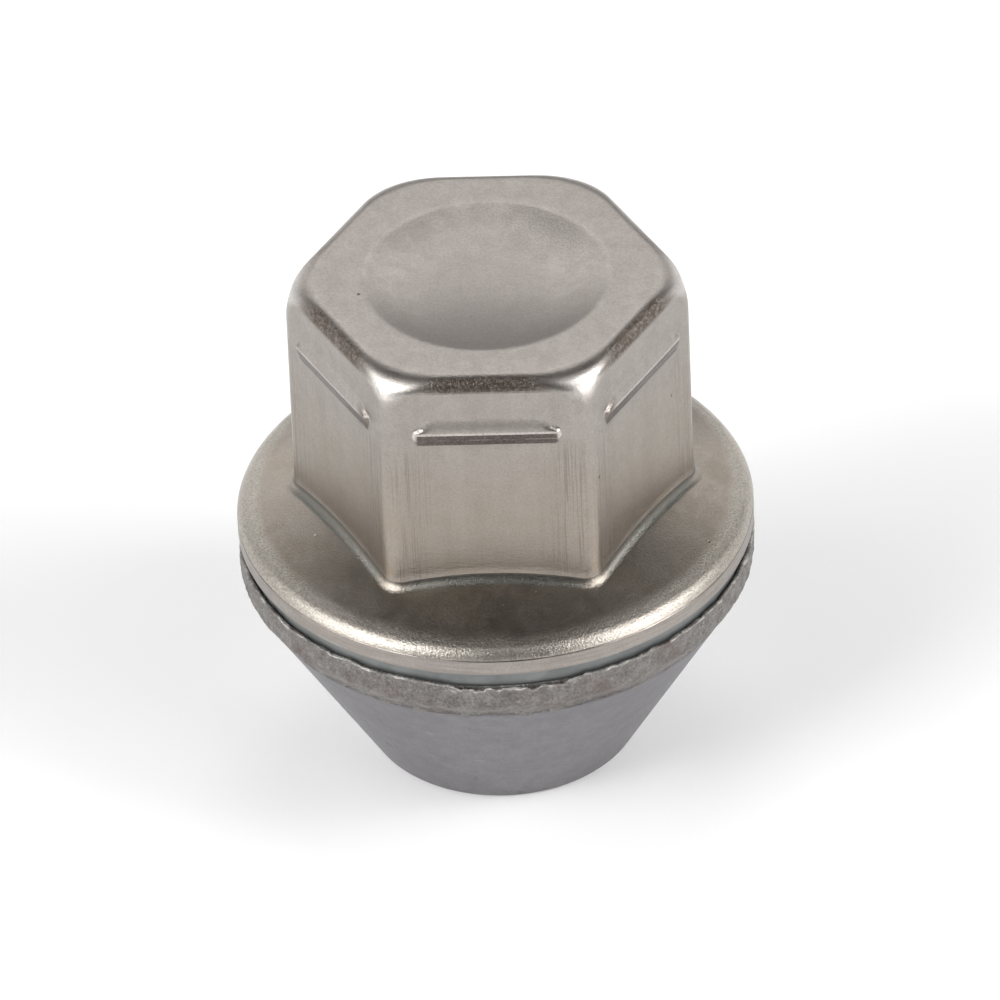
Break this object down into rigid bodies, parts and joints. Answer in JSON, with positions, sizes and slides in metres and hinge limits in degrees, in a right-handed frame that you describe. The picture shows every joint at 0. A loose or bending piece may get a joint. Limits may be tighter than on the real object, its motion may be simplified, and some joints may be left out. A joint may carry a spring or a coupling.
{
  "type": "capped wheel nut",
  "caption": "Capped hexagonal wheel nut with a dished top, pressed ridges, a sloping flange and a captive cone seat washer that turns.",
  "frame": {"origin": "on the axis, at the face of the washer's small end", "axes": "+Z along the axis towards the dished top; one flat of the hexagon faces -Y"},
  "size_m": [0.0322, 0.0322, 0.0345],
  "materials": {
    "cap_stainless": "satin drawn stainless with draw marks and stains",
    "nut_plated": "smooth bluish zinc plating",
    "washer_forged": "zinc flake over a rough forged rim and a smooth cone"
  },
  "bodies": {
    "nut": {"cap": "cap_stainless", "nut_body": "nut_plated"},
    "washer": {"seat_washer": "washer_forged"}
  },
  "joints": [
    {"name": "washer_spin", "type": "hinge", "parent": "nut", "child": "washer", "pos_m": [0, 0, 0.01436], "axis": [0, 0, 1], "continuous": true}
  ]
}
